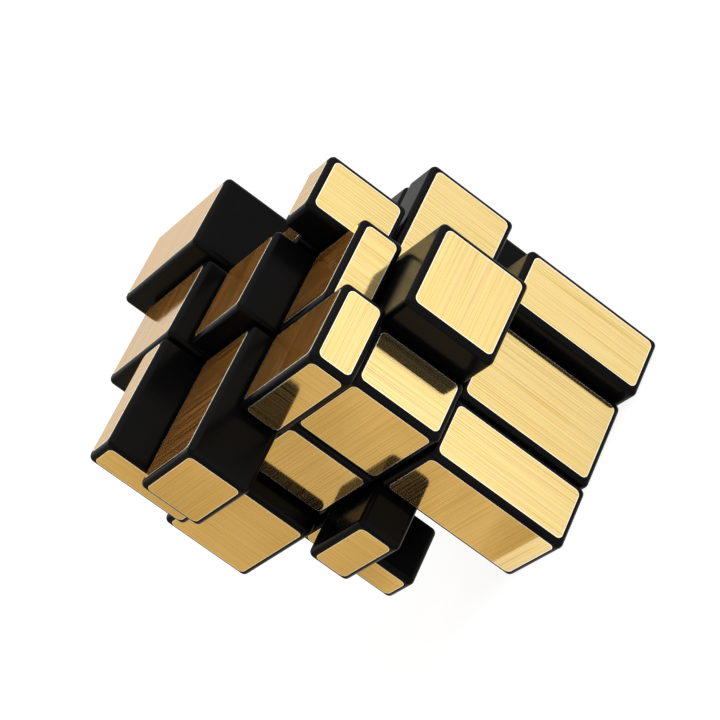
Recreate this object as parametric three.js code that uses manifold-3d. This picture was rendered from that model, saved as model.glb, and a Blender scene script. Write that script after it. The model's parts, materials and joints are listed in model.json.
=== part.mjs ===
// Mirror block cube: a 3 x 3 x 3 turning puzzle whose six outer layers all differ in depth, so each
// block has its own size, shown scrambled. Millimetres, +Z up, front towards -Y, standing on z = 0.
import * as THREE from 'three';
import { mergeVertices } from 'three/addons/utils/BufferGeometryUtils.js';
import Module from 'manifold-3d';

const wasm = await Module();
wasm.setup();

// ---- driving dimensions ----
const SLICE = 19; // thickness of each middle slice
// depth of each outer layer in the solved cube; opposite layers add up to two slices, 57 in all
const DEPTH = { left: 13, right: 25, front: 29, back: 9, top: 17, bottom: 21 };
const CLEAR = 0.25; // clearance on each side of every running cut
const ROUND = 1.1; // radius along the edges of a block
const ROUND_STEPS = 3; // facets across that radius

const CUT = SLICE / 2; // distance of the visible cuts from the middle
const FOOT = 5; // distance of the hidden cuts, under which the feet run
const RACE = 16; // radius of the round race that holds the feet in
const RACE_SIDES = 32;
const FAR = 2 * RACE; // beyond everything inside the race
const STANDING = CUT + Math.max(...Object.values(DEPTH)); // height of the middle above the ground

const PARTING = 16.6; // where a centre ends and its cap begins
const JOIN = 0.3; // gap between two pieces that rest on each other
const BOSS = { radius: 3, end: 8 }; // arms of the core that carry the centres
const SOCKET = { radius: 3.4, end: BOSS.end + JOIN };
const SHELF = 9.8; // top of the ledge that the spring presses on
const POCKET_RADIUS = 3.2; // well for the spring and the screw head
// each screw along its axis, with its chamfer, the hole in a centre and the threaded hole in the core
const SCREW = { start: 2.5, shank: 1.2, seat: 13.6, head: 2.6, top: 15.2, chamfer: 0.3, sides: 12 };
const SCREW_HOLE = { centre: 1.6, core: 1.5 };
const PLUG = { radius: 2.8, start: 15.6, overlap: 0.5 }; // peg under a cap
const SPRING_GAP = 0.6; // from the middle of the wire to what each end of a spring bears on
const SPRING_ENDS = [SHELF + SPRING_GAP, SCREW.seat - SPRING_GAP];
const SPRING = { radius: 2.2, wire: 0.3, turns: 2.5 };
const SPRING_STEPS = 25; // along the whole wire
const WIRE_SIDES = 5;
const BORE_SIDES = 24;

const ORIGIN = [0, 0, 0];
const AXES = [0, 1, 2];
const SIDES = {
  left: [0, -1],
  right: [0, 1],
  front: [1, -1],
  back: [1, 1],
  bottom: [2, -1],
  top: [2, 1],
};

// The scramble. Each pair says where a piece sits now, and which home side each face there came from.
const CORNERS = [
  ['left front top', 'top right back'],
  ['left front bottom', 'left top front'],
  ['left back top', 'right back bottom'],
  ['left back bottom', 'left back bottom'],
  ['right front top', 'left back top'],
  ['right front bottom', 'left bottom front'],
  ['right back top', 'top front right'],
  ['right back bottom', 'right bottom front'],
];
const EDGES = [
  ['left top', 'front left'],
  ['left bottom', 'bottom back'],
  ['left front', 'left bottom'],
  ['left back', 'top right'],
  ['right top', 'back left'],
  ['right bottom', 'front bottom'],
  ['right front', 'right back'],
  ['right back', 'front right'],
  ['front top', 'top back'],
  ['front bottom', 'top front'],
  ['back top', 'right bottom'],
  ['back bottom', 'top left'],
];

// ---- materials ----
const plastic = new THREE.MeshStandardMaterial({ color: 0x101013, roughness: 0.22, metalness: 0 });
const corePlastic = new THREE.MeshStandardMaterial({ color: 0x2a2a2d, roughness: 0.5, metalness: 0 });
const steel = new THREE.MeshStandardMaterial({ color: 0xb9bcc0, roughness: 0.3, metalness: 1 });

// ---- solids ----
function toSolid(geometry) {
  geometry.deleteAttribute('normal');
  geometry.deleteAttribute('uv');
  const merged = mergeVertices(geometry, 1e-4);
  const corners = [];
  for (let i = 0; i < merged.index.count; i += 3) {
    const [a, b, c] = [0, 1, 2].map((k) => merged.index.getX(i + k));
    if (a !== b && b !== c && c !== a) corners.push(a, b, c);
  }
  const mesh = new wasm.Mesh({
    numProp: 3,
    vertProperties: new Float32Array(merged.attributes.position.array),
    triVerts: new Uint32Array(corners),
  });
  return new wasm.Manifold(mesh);
}

function toGeometry(solid) {
  const mesh = solid.getMesh();
  const geometry = new THREE.BufferGeometry();
  geometry.setAttribute('position', new THREE.BufferAttribute(mesh.vertProperties, 3));
  geometry.setIndex(new THREE.BufferAttribute(mesh.triVerts, 1));
  geometry.computeVertexNormals();
  return geometry;
}

function box(low, high) {
  const size = AXES.map((k) => high[k] - low[k]);
  const geometry = new THREE.BoxGeometry(...size);
  geometry.translate(...AXES.map((k) => (low[k] + high[k]) / 2));
  return toSolid(geometry);
}

// A box whose edges and corners are all rounded: a sphere's rings and columns, pulled out to the corners.
function roundedBox(low, high) {
  const quarter = Math.PI / 2;
  const pull = (direction, k) => (direction > 0 ? high[k] - ROUND : low[k] + ROUND);
  const columns = [];
  for (const [q, [x, y]] of [[1, 1], [-1, 1], [-1, -1], [1, -1]].entries()) {
    for (let k = 0; k <= ROUND_STEPS; k++) {
      columns.push({ x, y, turn: (q + k / ROUND_STEPS) * quarter });
    }
  }
  const rings = [];
  for (const z of [-1, 1]) {
    for (let k = 0; k <= ROUND_STEPS; k++) {
      rings.push({ z, lift: (z < 0 ? k / ROUND_STEPS - 1 : k / ROUND_STEPS) * quarter });
    }
  }
  const point = (ring, column) => [
    pull(column.x, 0) + ROUND * Math.cos(ring.lift) * Math.cos(column.turn),
    pull(column.y, 1) + ROUND * Math.cos(ring.lift) * Math.sin(column.turn),
    pull(ring.z, 2) + ROUND * Math.sin(ring.lift),
  ];
  const triangles = [];
  for (let r = 0; r + 1 < rings.length; r++) {
    for (let c = 0; c < columns.length; c++) {
      const next = columns[(c + 1) % columns.length];
      const [a, b] = [point(rings[r], columns[c]), point(rings[r], next)];
      const [d, e] = [point(rings[r + 1], columns[c]), point(rings[r + 1], next)];
      triangles.push(a, b, e, a, e, d);
    }
  }
  const capCorners = [0, 1, 2, 3].map((q) => columns[q * (ROUND_STEPS + 1)]);
  const [a, b, c, d] = capCorners.map((column) => point(rings[0], column));
  const [e, f, g, h] = capCorners.map((column) => point(rings[rings.length - 1], column));
  triangles.push(a, c, b, a, d, c, e, f, g, e, g, h);
  const geometry = new THREE.BufferGeometry();
  geometry.setAttribute('position', new THREE.Float32BufferAttribute(triangles.flat(), 3));
  return toSolid(geometry);
}

// A round bar along one axis, between two distances from the middle.
function bar(axis, sign, from, to, radius, sides) {
  const geometry = new THREE.CylinderGeometry(radius, radius, to - from, sides);
  if (axis === 0) geometry.rotateZ(-Math.PI / 2);
  if (axis === 2) geometry.rotateX(Math.PI / 2);
  const shift = [0, 0, 0];
  shift[axis] = (sign * (from + to)) / 2;
  geometry.translate(...shift);
  return toSolid(geometry);
}

const runners = AXES.map((axis) => bar(axis, 1, -FAR, FAR, RACE - CLEAR, RACE_SIDES));

// The space that the turning feet of one axis sweep on both sides of its middle slice.
const collars = AXES.map((axis) => {
  const drum = bar(axis, 1, -FAR, FAR, RACE + CLEAR, RACE_SIDES);
  const low = [-FAR, -FAR, -FAR];
  const high = [FAR, FAR, FAR];
  low[axis] = CLEAR - FOOT;
  high[axis] = FOOT - CLEAR;
  return drum.subtract(box(low, high));
});

// Where a piece sits: its sign on each axis, and the distance of its outer face on each axis.
function place(sides, homes) {
  const signs = [...ORIGIN];
  const reach = [...ORIGIN];
  const homeNames = homes.split(' ');
  for (const [k, side] of sides.split(' ').entries()) {
    const [axis, sign] = SIDES[side];
    signs[axis] = sign;
    reach[axis] = CUT + DEPTH[homeNames[k]];
  }
  return { signs, reach };
}

// The low and high corners of a box from near to far on the outer axes, and half wide on the others.
function span(signs, near, far, half) {
  const ends = AXES.map((k) => {
    if (signs[k] === 0) return [-half, half];
    return signs[k] > 0 ? [near, far[k]] : [-far[k], -near];
  });
  return [ends.map((end) => end[0]), ends.map((end) => end[1])];
}

// The foot that runs under the neighbours and keeps the piece in.
function foot(signs) {
  let solid = box(...span(signs, FOOT + CLEAR, [RACE, RACE, RACE], FOOT - CLEAR));
  for (const axis of AXES) {
    if (signs[axis] !== 0) solid = solid.intersect(runners[axis]);
  }
  return solid;
}

// A corner or edge block with its foot.
function blockWithFoot({ signs, reach }) {
  let solid = roundedBox(...span(signs, CUT + CLEAR, reach, CUT - CLEAR));
  for (const axis of AXES) {
    if (signs[axis] === 0) solid = solid.subtract(collars[axis]);
  }
  return solid.add(foot(signs));
}

// A centre: a square stem that spins on an arm of the core, with a well for the spring and screw.
function centre({ signs }) {
  const axis = signs.findIndex((sign) => sign !== 0);
  const sign = signs[axis];
  const face = [PARTING, PARTING, PARTING];
  let solid = box(...span(signs, FOOT + CLEAR, face, CUT - CLEAR));
  for (const other of AXES) {
    if (other !== axis) solid = solid.subtract(collars[other]);
  }
  return solid
    .subtract(bar(axis, sign, 0, SOCKET.end, SOCKET.radius, BORE_SIDES))
    .subtract(bar(axis, sign, 0, RACE, SCREW_HOLE.centre, BORE_SIDES))
    .subtract(bar(axis, sign, SHELF, FAR, POCKET_RADIUS, BORE_SIDES));
}

// The block that covers a centre, with the peg that holds it in the well.
function cap({ signs, reach }) {
  const axis = signs.findIndex((sign) => sign !== 0);
  const underside = PARTING + JOIN;
  const full = roundedBox(...span(signs, underside - 2 * ROUND, reach, CUT - CLEAR));
  const below = box(...span(signs, 0, [underside, underside, underside], SLICE));
  const peg = bar(axis, signs[axis], PLUG.start, underside + PLUG.overlap, PLUG.radius, BORE_SIDES);
  return full.subtract(below).add(peg);
}

function core() {
  const half = FOOT - CLEAR;
  let solid = box([-half, -half, -half], [half, half, half]);
  for (const axis of AXES) {
    solid = solid.add(bar(axis, 1, -BOSS.end, BOSS.end, BOSS.radius, BORE_SIDES));
  }
  for (const axis of AXES) {
    solid = solid.subtract(bar(axis, 1, -FAR, FAR, SCREW_HOLE.core, BORE_SIDES));
  }
  return solid;
}

// ---- screws and springs, drawn along +Y and turned onto their axis ----
function screwGeometry() {
  const profile = [
    [0, SCREW.start],
    [SCREW.shank - SCREW.chamfer, SCREW.start],
    [SCREW.shank, SCREW.start + SCREW.chamfer],
    [SCREW.shank, SCREW.seat],
    [SCREW.head, SCREW.seat],
    [SCREW.head, SCREW.top - SCREW.chamfer],
    [SCREW.head - SCREW.chamfer, SCREW.top],
    [0, SCREW.top],
  ];
  return new THREE.LatheGeometry(profile.map(([r, y]) => new THREE.Vector2(r, y)), SCREW.sides);
}

class Helix extends THREE.Curve {
  getPoint(t, target = new THREE.Vector3()) {
    const turn = 2 * Math.PI * SPRING.turns * t;
    const height = THREE.MathUtils.lerp(...SPRING_ENDS, t);
    return target.set(SPRING.radius * Math.cos(turn), height, SPRING.radius * Math.sin(turn));
  }
}

function springGeometry() {
  const wire = new THREE.Shape();
  for (let k = 0; k < WIRE_SIDES; k++) {
    const turn = (2 * Math.PI * k) / WIRE_SIDES;
    const step = k === 0 ? 'moveTo' : 'lineTo';
    wire[step](SPRING.wire * Math.cos(turn), SPRING.wire * Math.sin(turn));
  }
  const options = { steps: SPRING_STEPS, extrudePath: new Helix(), bevelEnabled: false };
  return new THREE.ExtrudeGeometry(wire, options);
}

function aimed(geometry, { signs }) {
  const along = new THREE.Vector3(...signs);
  const turn = new THREE.Quaternion().setFromUnitVectors(new THREE.Vector3(0, 1, 0), along);
  return toGeometry(toSolid(geometry.applyQuaternion(turn)));
}

// ---- assembly ----
const cube = new THREE.Group();
const mechanism = new THREE.Group();
mechanism.position.z = STANDING;
cube.add(mechanism);

function addPiece(name, geometry, material) {
  const piece = new THREE.Mesh(geometry, material);
  piece.name = name.replaceAll(' ', '_');
  mechanism.add(piece);
}

for (const [sides, homes] of CORNERS) {
  addPiece(`corner ${sides}`, toGeometry(blockWithFoot(place(sides, homes))), plastic);
}
for (const [sides, homes] of EDGES) {
  addPiece(`edge ${sides}`, toGeometry(blockWithFoot(place(sides, homes))), plastic);
}
for (const side of Object.keys(SIDES)) {
  const spot = place(side, side);
  addPiece(`centre ${side}`, toGeometry(centre(spot)), plastic);
  addPiece(`cap ${side}`, toGeometry(cap(spot)), plastic);
  addPiece(`screw ${side}`, aimed(screwGeometry(), spot), steel);
  addPiece(`spring ${side}`, aimed(springGeometry(), spot), steel);
}
addPiece('core', toGeometry(core()), corePlastic);

export default cube;
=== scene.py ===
"""The looks of a scrambled mirror block cube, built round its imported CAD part.

Glossy black blocks with softly rounded edges, each outer face carrying a thin plate of brushed gold
film, on a pale studio floor. Metres throughout, in the part's own frame.
"""

import json
import math
import random

import bmesh
import bpy
from mathutils import Matrix, Vector

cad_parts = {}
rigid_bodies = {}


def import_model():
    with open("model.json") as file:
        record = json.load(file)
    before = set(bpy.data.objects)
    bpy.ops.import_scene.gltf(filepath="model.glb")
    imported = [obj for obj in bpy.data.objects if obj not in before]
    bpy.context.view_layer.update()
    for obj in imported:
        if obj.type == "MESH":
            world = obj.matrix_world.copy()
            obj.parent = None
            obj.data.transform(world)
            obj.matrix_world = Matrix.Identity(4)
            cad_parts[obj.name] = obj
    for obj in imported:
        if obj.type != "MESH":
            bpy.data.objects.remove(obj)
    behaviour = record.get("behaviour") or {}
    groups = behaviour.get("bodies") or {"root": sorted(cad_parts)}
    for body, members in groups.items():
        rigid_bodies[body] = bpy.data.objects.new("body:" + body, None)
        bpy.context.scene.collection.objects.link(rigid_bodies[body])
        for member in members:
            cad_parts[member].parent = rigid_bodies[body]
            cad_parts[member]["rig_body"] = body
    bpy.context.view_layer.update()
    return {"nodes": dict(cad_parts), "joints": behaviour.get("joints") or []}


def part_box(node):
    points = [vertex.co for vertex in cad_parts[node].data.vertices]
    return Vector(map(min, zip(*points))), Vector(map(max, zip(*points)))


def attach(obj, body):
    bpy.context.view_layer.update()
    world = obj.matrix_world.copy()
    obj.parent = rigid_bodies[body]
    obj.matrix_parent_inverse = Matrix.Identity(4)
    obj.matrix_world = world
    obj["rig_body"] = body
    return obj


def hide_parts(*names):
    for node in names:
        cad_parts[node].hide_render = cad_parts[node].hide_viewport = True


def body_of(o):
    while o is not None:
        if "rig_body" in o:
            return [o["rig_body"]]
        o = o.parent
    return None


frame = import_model()

MM = 0.001
AXES = X, Y, Z = (0, 1, 2)
SIDES = {
    "left": (X, -1),
    "right": (X, 1),
    "front": (Y, -1),
    "back": (Y, 1),
    "bottom": (Z, -1),
    "top": (Z, 1),
}
TURNED_CAPS = ("front", "left", "top")  # centres that ended a quarter turn from home

# ---- sizes taken from the frame ----
MIDDLE = Vector(frame["joints"][0]["pos_m"])  # where the three turning axes meet
HALF_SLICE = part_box("cap_top")[1].x  # half the width of a block of a middle slice
FOOT_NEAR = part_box("corner_left_front_top")[0].z - MIDDLE.z  # where a foot begins

# ---- sizes of the mechanism ----
GAP = 0.5 * MM  # running gap between two blocks
RACE = 16 * MM  # radius of the round race that the feet run in
PEG_RADIUS = 2.8 * MM  # the peg under a cap
PEG_LENGTH = 1.3 * MM
BAR_SIDES = 96  # sides of a round bar
BAR_TWIST = math.radians(1.1)  # turn of a bar about its own axis, once for Y and twice for Z
FAR = 60 * MM  # further than any block reaches

# ---- sizes of the looks ----
ROUND = 1.1 * MM  # radius along the edges of a block
ROUND_STEPS = 6
FILM = 0.05 * MM  # how far a film plate stands out of the plastic
FILM_SUNK = 0.1 * MM  # how far its back lies inside it
FILM_MARGIN = 1.15 * MM  # from the side of a block to the edge of its film
FILM_CORNER = 1.05 * MM  # radius of a film's corners
FILM_CORNER_STEPS = 8
FILM_BEVEL = 0.03 * MM  # radius along the edge of a film
FILM_BEVEL_STEPS = 3
FILM_RIM = 0.14 * MM  # width of the pale rim round a film, a painted highlight along its edge
RIM_SLOT = 1  # where the rim's material stands among the materials of a plate
SMOOTH_ANGLE = math.radians(35)  # edges sharper than this stay sharp in the shading

BLOCK_NEAR = HALF_SLICE + GAP  # where a block of an outer layer begins

draw = random.Random(7)


# ---- materials ----
class Nodes:
    """A material's node tree, with short ways to add and join nodes."""

    def __init__(self, name):
        self.material = bpy.data.materials.new(name)
        self.material.use_nodes = True
        self.tree = self.material.node_tree
        self.tree.nodes.clear()
        self.shader = self.add("ShaderNodeBsdfPrincipled")
        output = self.add("ShaderNodeOutputMaterial")
        self.join(self.shader.outputs["BSDF"], output.inputs["Surface"])

    def add(self, kind, **values):
        node = self.tree.nodes.new(kind)
        for key, value in values.items():
            setattr(node, key, value)
        return node

    def join(self, source, target):
        self.tree.links.new(source, target)

    def fix(self, values):
        """Sets sockets of the shader to plain values."""
        for key, value in values.items():
            self.shader.inputs[key].default_value = value

    def drive(self, key, source):
        """Joins a node's output to a socket of the shader."""
        self.join(source, self.shader.inputs[key])

    def stretched(self, coordinates, scale):
        """The named texture coordinates, scaled per axis."""
        source = self.add("ShaderNodeTexCoord").outputs[coordinates]
        mapping = self.add("ShaderNodeMapping")
        mapping.inputs["Scale"].default_value = scale
        self.join(source, mapping.inputs["Vector"])
        return mapping.outputs["Vector"]

    def noise(self, vector, scale=1.0, detail=2.0, roughness=0.5):
        node = self.add("ShaderNodeTexNoise")
        node.inputs["Scale"].default_value = scale
        node.inputs["Detail"].default_value = detail
        node.inputs["Roughness"].default_value = roughness
        self.join(vector, node.inputs["Vector"])
        return node.outputs["Fac"]

    def ramp(self, source, stops):
        """A colour ramp with (position, colour) stops."""
        node = self.add("ShaderNodeValToRGB")
        elements = node.color_ramp.elements
        while len(elements) < len(stops):
            elements.new(0.5)
        for element, (position, colour) in zip(elements, stops):
            element.position = position
            element.color = (*colour, 1.0)
        self.join(source, node.inputs["Fac"])
        return node.outputs["Color"]

    def between(self, source, low, high, out_low, out_high):
        """source, from low..high, spread over out_low..out_high."""
        node = self.add("ShaderNodeMapRange")
        ends = {"From Min": low, "From Max": high, "To Min": out_low, "To Max": out_high}
        for key, value in ends.items():
            node.inputs[key].default_value = value
        self.join(source, node.inputs["Value"])
        return node.outputs["Result"]

    def tinted(self, colour, factor):
        """Two colours multiplied."""
        node = self.add("ShaderNodeMixRGB", blend_type="MULTIPLY")
        node.inputs["Fac"].default_value = 1.0
        self.join(colour, node.inputs["Color1"])
        self.join(factor, node.inputs["Color2"])
        return node.outputs["Color"]

    def bump(self, height, distance, strength):
        node = self.add("ShaderNodeBump")
        node.inputs["Distance"].default_value = distance
        node.inputs["Strength"].default_value = strength
        self.join(height, node.inputs["Height"])
        self.drive("Normal", node.outputs["Normal"])


UNSCALED = (1, 1, 1)
NOISE_ENDS = (0.3, 0.7)  # noise values where a mottled material has its two colours and roughnesses
# noise on a film: cells per metre along and across its brushing, and the detail of the noise
STREAKS = {
    "fine": ((30, 5200, 1), 2.0),
    "broad": ((9, 700, 1), 2.0),
    "lines": ((34, 4300, 1), 1.0),
    "sheet": ((5, 5, 1), 0.0),
}
STREAK_ENDS = (0.35, 0.65)  # noise values that the ends of FILM_RANGES stand for
GOLD = [(0.3, (0.855, 0.705, 0.335)), (0.7, (0.945, 0.80, 0.415))]
# tints laid over the gold, each with the noise that it follows
FILM_TINTS = {
    "broad": [(0.35, (0.96, 0.955, 0.90)), (0.5, (1.0, 0.99, 0.97)), (0.65, (1.0, 0.965, 1.0))],
    "lines": [(0.32, (0.88, 0.81, 0.72)), (0.50, (1.0, 1.0, 1.0))],
    "cloud": [(0.3, (1.0, 0.965, 0.92)), (0.7, (1.0, 1.0, 1.0))],
    "sheet": [(0.3, (0.95, 0.93, 0.89)), (0.7, (1.0, 1.0, 1.0))],
}
# values of the film that follow a noise: which noise, and the two ends
FILM_RANGES = {
    "Roughness": ("fine", 0.04, 0.11),
    "Metallic": ("lines", 0.91, 1.0),
    "Sheen Weight": ("lines", 0.75, 0.15),
}
FILM_VALUES = {
    "Specular IOR Level": 0.0,
    "Anisotropic": 0.35,
    "Coat Weight": 0.75,
    "Coat Roughness": 0.04,
    "Sheen Roughness": 0.42,
    "Sheen Tint": (1.0, 0.42, 0.06, 1.0),
}


def gold_film():
    """Brushed gold film: fine straight streaks along U of its plate."""
    made = Nodes("gold_film")
    noises = {"cloud": made.noise(made.stretched("Object", UNSCALED), scale=70.0)}
    for name, (stretch, detail) in STREAKS.items():
        noises[name] = made.noise(made.stretched("UV", stretch), detail=detail)
    colour = made.ramp(noises["fine"], GOLD)
    for name, stops in FILM_TINTS.items():
        colour = made.tinted(colour, made.ramp(noises[name], stops))
    made.drive("Base Color", colour)
    for key, (name, low, high) in FILM_RANGES.items():
        made.drive(key, made.between(noises[name], *STREAK_ENDS, low, high))
    tangent = made.add("ShaderNodeTangent", direction_type="UV_MAP", uv_map="grain")
    made.drive("Tangent", tangent.outputs["Tangent"])
    made.bump(noises["fine"], distance=0.005 * MM, strength=0.8)
    made.fix(FILM_VALUES)
    return made.material


def mottled(name, colours, roughnesses, **noise):
    """Nodes of a material whose colour and roughness follow one noise, and that noise."""
    made = Nodes(name)
    cloud = made.noise(made.stretched("Object", UNSCALED), **noise)
    made.drive("Base Color", made.ramp(cloud, list(zip(NOISE_ENDS, colours))))
    made.drive("Roughness", made.between(cloud, *NOISE_ENDS, *roughnesses))
    return made, cloud


def painted_rim_highlight():
    """The pale, duller rim round a film, a painted highlight along its edge."""
    colours = (0.97, 0.88, 0.70), (1.0, 0.98, 0.88)
    made, _ = mottled("painted_rim_highlight", colours, (0.18, 0.28), scale=2500.0)
    made.fix({"Metallic": 0.86})
    return made.material


def black_plastic():
    """Glossy moulded plastic with faint smudges and a slightly uneven skin."""
    colours = (0.004, 0.004, 0.0048), (0.006, 0.006, 0.007)
    smudges = {"scale": 140.0, "detail": 4.0, "roughness": 0.6}
    made, _ = mottled("black_plastic", colours, (0.17, 0.27), **smudges)
    grain = made.noise(made.stretched("Object", UNSCALED), scale=1500.0)
    made.bump(grain, distance=0.01 * MM, strength=0.12)
    made.fix({"Specular IOR Level": 0.12})
    return made.material


def core_plastic():
    """Plain moulded nylon of the hidden core."""
    colours = (0.024, 0.024, 0.027), (0.036, 0.036, 0.040)
    made, grain = mottled("core_plastic", colours, (0.42, 0.58), scale=900.0, detail=3.0)
    made.bump(grain, distance=0.02 * MM, strength=0.3)
    return made.material


def steel():
    """Bright plated steel of the screws and springs."""
    colours = (0.50, 0.51, 0.53), (0.66, 0.67, 0.68)
    made, _ = mottled("steel", colours, (0.22, 0.36), scale=1200.0, detail=3.0)
    made.fix({"Metallic": 1.0})
    return made.material


# ---- solids ----
def new_object(name, mesh):
    piece = bpy.data.objects.new(name, mesh)
    bpy.context.scene.collection.objects.link(piece)
    return piece


def from_bmesh(name, made):
    bmesh.ops.recalc_face_normals(made, faces=made.faces)
    mesh = bpy.data.meshes.new(name)
    made.to_mesh(mesh)
    made.free()
    return new_object(name, mesh)


def box_bmesh(low, high):
    """A box between two corners, each given from the middle of the mechanism."""
    made = bmesh.new()
    bmesh.ops.create_cube(made, size=1.0)
    low, high = Vector(low), Vector(high)
    size = Matrix.Diagonal((*(high - low), 1.0))
    made.transform(Matrix.Translation(MIDDLE + (low + high) / 2) @ size)
    return made


def box(name, low, high):
    return from_bmesh(name, box_bmesh(low, high))


def rounded_box(name, low, high):
    made = box_bmesh(low, high)
    bmesh.ops.bevel(
        made,
        geom=made.edges[:],
        offset=ROUND,
        segments=ROUND_STEPS,
        profile=0.5,
        affect="EDGES",
    )
    return from_bmesh(name, made)


def bar(name, axis, start, end, radius):
    """A round bar along an axis, between two places measured from the middle.

    Bars on different axes have their sides turned unlike each other, so that they cut each other cleanly.
    """
    made = bmesh.new()
    bmesh.ops.create_cone(
        made,
        cap_ends=True,
        segments=BAR_SIDES,
        radius1=radius,
        radius2=radius,
        depth=abs(end - start),
    )
    along = Vector([float(k == axis) for k in AXES])
    aim = Vector((0, 0, 1)).rotation_difference(along).to_matrix().to_4x4()
    twist = Matrix.Rotation(axis * BAR_TWIST, 4, "Z")
    made.transform(Matrix.Translation(MIDDLE + along * (start + end) / 2) @ aim @ twist)
    return from_bmesh(name, made)


def combined(base, *steps):
    """base after a row of (operation, other) steps, as one new mesh. base itself is used up."""
    for operation, other in steps:
        modifier = base.modifiers.new(operation, "BOOLEAN")
        modifier.operation = operation
        modifier.solver = "EXACT"
        modifier.object = other
    view = bpy.context.evaluated_depsgraph_get()
    mesh = bpy.data.meshes.new_from_object(base.evaluated_get(view))
    bpy.data.objects.remove(base)
    return mesh


def softened(piece):
    """Smooth shading over rounded edges, flat shading on flat faces."""
    mesh = piece.data
    mesh.polygons.foreach_set("use_smooth", [True] * len(mesh.polygons))
    mesh.set_sharp_from_angle(angle=SMOOTH_ANGLE)
    modifier = piece.modifiers.new("shading", "WEIGHTED_NORMAL")
    modifier.keep_sharp = True


# ---- blocks ----
RUNNERS = [bar(f"runner{k}", k, -FAR, FAR, RACE - GAP / 2) for k in AXES]


def collar(axis):
    """The space that the feet of the layers on one axis sweep beside its middle slice."""
    drum = bar(f"drum{axis}", axis, -FAR, FAR, RACE + GAP / 2)
    low, high = [-FAR] * 3, [FAR] * 3
    low[axis], high[axis] = GAP - FOOT_NEAR, FOOT_NEAR - GAP
    middle = box(f"middle{axis}", low, high)
    made = new_object(f"collar{axis}", combined(drum, ("DIFFERENCE", middle)))
    bpy.data.objects.remove(middle)
    return made


COLLARS = [collar(axis) for axis in AXES]


class Block:
    """One outward block: its name, its body, and where its faces are."""

    def __init__(self, node):
        self.node = node
        self.kind, *self.sides = node.split("_")
        self.body = body_of(frame["nodes"][node])[0]
        self.signs = [0, 0, 0]
        low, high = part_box(node)
        self.reach = [HALF_SLICE] * 3
        for side in self.sides:
            axis, sign = SIDES[side]
            self.signs[axis] = sign
            self.reach[axis] = abs((high if sign > 0 else low)[axis] - MIDDLE[axis])

    def span(self, near, far, half):
        """Corners of a box from near to far on the outward axes and half wide on the others."""
        low, high = [], []
        for axis in AXES:
            ends = (near, far[axis]) if self.signs[axis] else (-half, half)
            if self.signs[axis] < 0:
                ends = (-far[axis], -near)
            low.append(ends[0])
            high.append(ends[1])
        return low, high


def blocks():
    names = [name for name in frame["nodes"] if name.split("_")[0] in ("corner", "edge", "cap")]
    return [Block(name) for name in sorted(names)]


def plastic_mesh(block):
    """A corner or edge block with its foot."""
    far = [reach - FILM for reach in block.reach]
    body = rounded_box("body", *block.span(BLOCK_NEAR, far, HALF_SLICE))
    inner = FOOT_NEAR - GAP
    foot = box("foot", *block.span(FOOT_NEAR, [RACE] * 3, inner))
    outward = [axis for axis in AXES if block.signs[axis]]
    sideways = [axis for axis in AXES if not block.signs[axis]]
    cut_foot = combined(foot, *[("INTERSECT", RUNNERS[axis]) for axis in outward])
    foot = new_object("foot", cut_foot)
    cuts = [("DIFFERENCE", COLLARS[axis]) for axis in sideways]
    mesh = combined(body, *cuts, ("UNION", foot))
    bpy.data.objects.remove(foot)
    return mesh


def cap_mesh(block):
    """The block that covers a centre, with the peg that holds it."""
    axis, sign = SIDES[block.sides[0]]
    low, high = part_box(block.node)
    far = [reach - FILM for reach in block.reach]
    peg_end = abs((low if sign > 0 else high)[axis] - MIDDLE[axis])
    underside = peg_end + PEG_LENGTH
    body = rounded_box("body", *block.span(underside - 2 * ROUND, far, HALF_SLICE))
    below = box("below", *block.span(0, [underside] * 3, FAR))
    peg = bar("peg", axis, sign * peg_end, sign * (underside + ROUND / 2), PEG_RADIUS)
    mesh = combined(body, ("DIFFERENCE", below), ("UNION", peg))
    for spare in (below, peg):
        bpy.data.objects.remove(spare)
    return mesh


# ---- film ----
def home_axis(reach):
    """The axis whose home layer has this depth. The centres never leave home, so their caps tell."""
    gaps = {}
    for side, (axis, _) in SIDES.items():
        cap = Block(f"cap_{side}")
        gaps[abs(cap.reach[axis] - reach)] = axis
    return gaps[min(gaps)]


def third_axis(first, second):
    return sum(AXES) - first - second


def grain_axis(block, axis):
    """The axis that the brushing of a face runs along: upright at home, or front to back on home tops."""
    if block.kind == "cap":
        upright = Y if axis == Z else Z
        if block.sides[0] in TURNED_CAPS:
            return third_axis(axis, upright)
        return upright
    homes = {k: home_axis(block.reach[k]) for k in AXES if block.signs[k]}
    for k in AXES:
        homes.setdefault(k, sum(AXES) - sum(homes.values()))
    wanted = Y if homes[axis] == Z else Z
    return next(k for k in AXES if homes[k] == wanted)


def film_ends(block, axis):
    """How far a face of the plastic runs on each of the other two axes, as {axis: (low, high)}."""
    low, high = block.span(BLOCK_NEAR, block.reach, HALF_SLICE)
    return {k: (low[k] + FILM_MARGIN, high[k] - FILM_MARGIN) for k in AXES if k != axis}


def rounded_outline(width, height, corner):
    """Points round a rectangle about the origin, anticlockwise, with rounded corners."""
    points = []
    for quarter, (x, y) in enumerate([(1, 1), (-1, 1), (-1, -1), (1, -1)]):
        centre = Vector((x * (width / 2 - corner), y * (height / 2 - corner)))
        for step in range(FILM_CORNER_STEPS + 1):
            turn = (quarter + step / FILM_CORNER_STEPS) * math.pi / 2
            points.append(centre + corner * Vector((math.cos(turn), math.sin(turn))))
    return points


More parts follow.
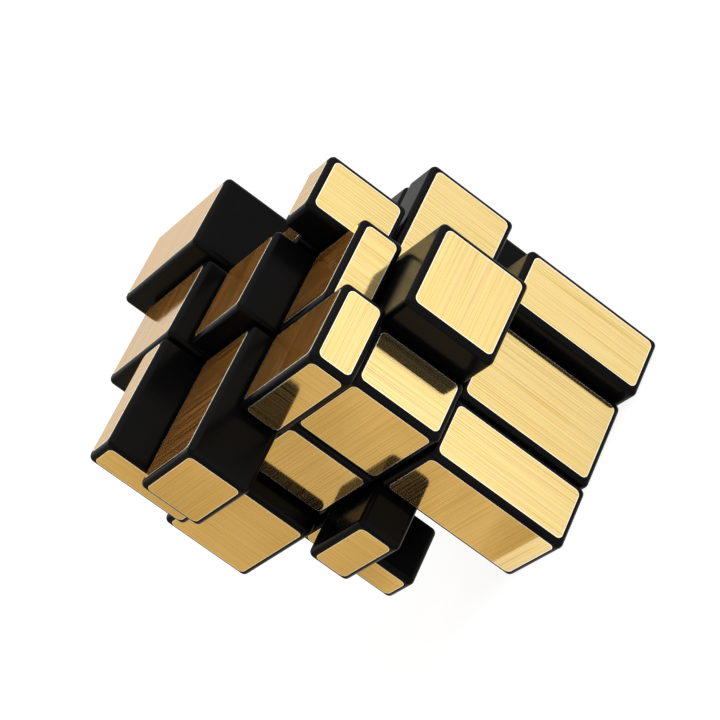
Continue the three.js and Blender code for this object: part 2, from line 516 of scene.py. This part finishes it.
def film_rings(width, height):
    """(height above the plastic, outline) from the sunk back of a plate to the inside of its rim."""
    rings = [(-FILM_SUNK, rounded_outline(width, height, FILM_CORNER))]
    for step in range(FILM_BEVEL_STEPS + 1):
        turn = step / FILM_BEVEL_STEPS * math.pi / 2
        inset = FILM_BEVEL * (1 - math.cos(turn))
        lift = FILM - FILM_BEVEL * (1 - math.sin(turn))
        outline = rounded_outline(width - 2 * inset, height - 2 * inset, FILM_CORNER - inset)
        rings.append((lift, outline))
    inset = FILM_BEVEL + FILM_RIM
    rings.append((FILM, rounded_outline(width - 2 * inset, height - 2 * inset, FILM_CORNER - inset)))
    return rings


def film_plate(block, side):
    """A plate of film on one outer face, with U along its brushing."""
    axis, sign = SIDES[side]
    grain = grain_axis(block, axis)
    across = third_axis(axis, grain)
    ends = film_ends(block, axis)
    centre, size = Vector(), {}
    for k, (low, high) in ends.items():
        centre[k] = (low + high) / 2
        size[k] = high - low
    centre[axis] = sign * (block.reach[axis] - FILM)
    made = bmesh.new()
    uv = made.loops.layers.uv.new("grain")
    rows = []
    for lift, outline in film_rings(size[grain], size[across]):
        row = []
        for point in outline:
            place = centre.copy()
            place[grain] += point.x
            place[across] += point.y
            place[axis] += sign * lift
            row.append(made.verts.new(MIDDLE + place))
        rows.append(row)
    for lower, upper in zip(rows, rows[1:]):
        for k in range(len(lower)):
            after = (k + 1) % len(lower)
            face = made.faces.new((lower[k], lower[after], upper[after], upper[k]))
            face.material_index = RIM_SLOT
    made.faces.new(rows[0])
    made.faces.new(rows[-1])
    shift = Vector((draw.random(), draw.random()))
    for face in made.faces:
        for loop in face.loops:
            place = loop.vert.co - MIDDLE
            loop[uv].uv = shift + Vector((place[grain], place[across]))
    return from_bmesh(f"{block.node}_film_{side}", made)


# ---- assembly ----
def dressed(piece, materials, body):
    """Gives a piece its materials, shading, slot and body."""
    for material in materials:
        piece.data.materials.append(material)
    softened(piece)
    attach(piece, body)


def build_blocks(plastic, film):
    """Every outward block with its films. film holds the material of a film and that of its rim, a
    painted highlight.
    """
    for block in blocks():
        mesh = cap_mesh(block) if block.kind == "cap" else plastic_mesh(block)
        piece = new_object(f"{block.node}_block", mesh)
        dressed(piece, [plastic], block.body)
        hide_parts(block.node)
        for side in block.sides:
            dressed(film_plate(block, side), film, block.body)


def paint_mechanism(plastic):
    """Materials for the CAD pieces that show as they are."""
    finishes = {"centre": plastic, "core": core_plastic()}
    finishes["screw"] = finishes["spring"] = steel()
    for name, piece in frame["nodes"].items():
        finish = finishes.get(name.split("_")[0])
        if finish is not None:
            piece.data.materials.clear()
            piece.data.materials.append(finish)


# ---- studio ----
VIEW_GAMMA = 0.8
# metres, degrees and millimetres of lens; the azimuth runs from the front, towards the right
CAMERA = {
    "target": (0.0022, -0.0015, 0.0389),
    "distance": 0.5015,
    "azimuth": -35.55,
    "elevation": 14.13,
    "roll": -53.95,
    "lens": 142.69,
    "clip": (0.01, 50.0),
}
WORLD = {"colour": (1.0, 0.985, 0.97, 1.0), "strength": 0.78}
FLOOR = {
    "radius": 6.0,
    "sides": 64,
    "cells": 3.0,
    "colours": [(0.3, (0.13, 0.13, 0.13)), (0.7, (0.15, 0.15, 0.15))],
}
FLOOR_VALUES = {
    "Roughness": 0.9,
    "Specular IOR Level": 0.1,
    "Emission Color": (1.0, 1.0, 1.0, 1.0),
}
GLOW_SLOPE = (-10, -10, 1)  # scale of a slope that rises towards the front left
GLOW_PLACES = (0.14, 0.50)  # two heights on that slope
GLOW_STRENGTHS = (0.90, 1.08)  # how strongly the floor glows at each
# the two flat parts of the bent card, each from corner to corner, measured from the middle
CARD_PARTS = {
    "upright": ((-0.0751, -0.03, -0.0385), (-0.075, 0.25, 0.07)),
    "flat": ((-0.075, -0.05, -0.0385), (-0.03, 0.25, -0.0383)),
}
# glow colours of the card, a painted reflection that the left faces of the cube mirror
CARD_GLOW_COLOURS = [(0.35, (0.62, 0.50, 0.31)), (0.65, (0.82, 0.69, 0.49))]
CARD_VALUES = {
    "Base Color": (0.0, 0.0, 0.0, 1.0),
    "Specular IOR Level": 0.0,
    "Emission Strength": 1.0,
}
CARD_HIDDEN_FROM = ("camera", "diffuse", "shadow", "transmission", "volume_scatter")
KEY = {"from": (0.55, -0.75, 0.85), "spread": 80.0, "strength": 1.1}
# softboxes: where each stands from the cube, its size and its power
SOFTBOXES = {
    "fill": {"at": (-0.8, -0.3, 0.7), "size": 0.9, "power": 1.0},
    "rim": {"at": (0.2, 0.9, 0.8), "size": 0.9, "power": 1.5},
}


def floor():
    """A pale ground that glows a little more towards the front left."""
    made = Nodes("pale_floor")
    cloud = made.noise(made.stretched("Object", UNSCALED), scale=FLOOR["cells"])
    made.drive("Base Color", made.ramp(cloud, FLOOR["colours"]))
    slope = made.add("ShaderNodeTexGradient", gradient_type="DIAGONAL")
    made.join(made.stretched("Object", GLOW_SLOPE), slope.inputs["Vector"])
    made.drive("Emission Strength", made.between(slope.outputs["Fac"], *GLOW_PLACES, *GLOW_STRENGTHS))
    made.fix(FLOOR_VALUES)
    disc = bmesh.new()
    bmesh.ops.create_circle(disc, cap_ends=True, segments=FLOOR["sides"], radius=FLOOR["radius"])
    piece = from_bmesh("floor", disc)
    piece.data.materials.append(made.material)


def world():
    made = bpy.data.worlds.new("studio")
    made.use_nodes = True
    background = made.node_tree.nodes["Background"]
    background.inputs["Color"].default_value = WORLD["colour"]
    background.inputs["Strength"].default_value = WORLD["strength"]
    bpy.context.scene.world = made


def painted_reflection_card():
    """A bent card beside the left of the cube that glows warm and that only its film and plastic mirror:
    a painted reflection that the camera never sees.
    """
    made = Nodes("painted_reflection_glow")
    cloud = made.noise(made.stretched("Object", UNSCALED), scale=22.0, detail=3.0)
    made.drive("Emission Color", made.ramp(cloud, CARD_GLOW_COLOURS))
    made.fix(CARD_VALUES)
    for part, corners in CARD_PARTS.items():
        piece = box(f"card_{part}", *corners)
        piece.data.materials.append(made.material)
        for ray in CARD_HIDDEN_FROM:
            setattr(piece, f"visible_{ray}", False)


def aim_at_middle(lamp, place):
    """Turns a lamp that stands at place, measured from the middle, to face the middle."""
    lamp.rotation_euler = (-Vector(place)).to_track_quat("-Z", "Y").to_euler()


def softbox(name, at, size, power):
    """A square lamp that the camera doesn't see."""
    light = bpy.data.lights.new(name, "AREA")
    light.shape = "SQUARE"
    light.size = size
    light.energy = power
    lamp = new_object(name, light)
    lamp.location = MIDDLE + Vector(at)
    aim_at_middle(lamp, at)
    lamp.visible_camera = False


def key_light():
    """A broad overhead light from the right and front."""
    light = bpy.data.lights.new("key", "SUN")
    light.angle = math.radians(KEY["spread"])
    light.energy = KEY["strength"]
    aim_at_middle(new_object("key", light), KEY["from"])


def camera():
    """A long lens, from the front left and a little above, rolled to the cube's floating tilt."""
    data = bpy.data.cameras.new("camera")
    data.lens = CAMERA["lens"]
    data.clip_start, data.clip_end = CAMERA["clip"]
    eye = new_object("camera", data)
    azimuth, elevation = (math.radians(CAMERA[key]) for key in ("azimuth", "elevation"))
    flat = math.cos(elevation)
    back = Vector((flat * math.sin(azimuth), -flat * math.cos(azimuth), math.sin(elevation)))
    roll = Matrix.Rotation(math.radians(CAMERA["roll"]), 3, "Z")
    aim = (-back).to_track_quat("-Z", "Y").to_matrix() @ roll
    place = Matrix.Translation(Vector(CAMERA["target"]) + back * CAMERA["distance"])
    eye.matrix_world = place @ aim.to_4x4()
    bpy.context.scene.camera = eye


camera()
plastic = black_plastic()
build_blocks(plastic, [gold_film(), painted_rim_highlight()])
paint_mechanism(plastic)
for spare in RUNNERS + COLLARS:
    bpy.data.objects.remove(spare)
floor()
world()
painted_reflection_card()
key_light()
for name, facts in SOFTBOXES.items():
    softbox(name, **facts)
bpy.context.scene.view_settings.view_transform = "Standard"
bpy.context.scene.view_settings.gamma = VIEW_GAMMA
